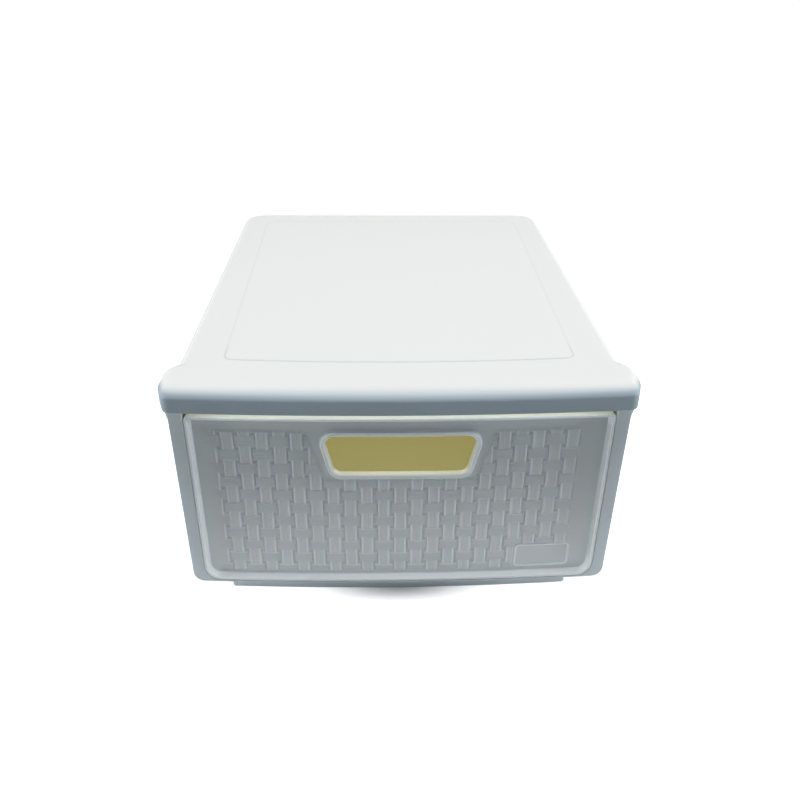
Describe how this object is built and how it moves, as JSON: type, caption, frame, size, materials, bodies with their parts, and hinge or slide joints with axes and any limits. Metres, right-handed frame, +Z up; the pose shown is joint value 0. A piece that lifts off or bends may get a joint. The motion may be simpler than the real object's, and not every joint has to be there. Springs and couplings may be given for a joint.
{
  "type": "stackable drawer box",
  "caption": "Low stackable plastic box with a sliding woven-look drawer, a cut-out hand hole, a bowed front lip and a raised panel on its cover for stacking.",
  "frame": {"origin": "middle of the base, on the surface that the box stands on", "axes": "+Z up, -Y towards the user, so the drawer slides out along -Y, +X to the user's right"},
  "size_m": [0.253, 0.315, 0.135],
  "materials": {
    "casing_white": "satin moulded polypropylene, opaque white",
    "cover_white": "fine matt moulded polypropylene, opaque white",
    "drawer_frosted": "thin moulded polypropylene, milky white, woven relief on the front"
  },
  "bodies": {
    "casing": {"casing_body": "casing_white", "top_cover": "cover_white"},
    "drawer": {"drawer": "drawer_frosted"}
  },
  "joints": [
    {"name": "drawer_slide", "type": "slide", "parent": "casing", "child": "drawer", "axis": [0, -1, 0], "range_m": [0, 0.23]}
  ]
}
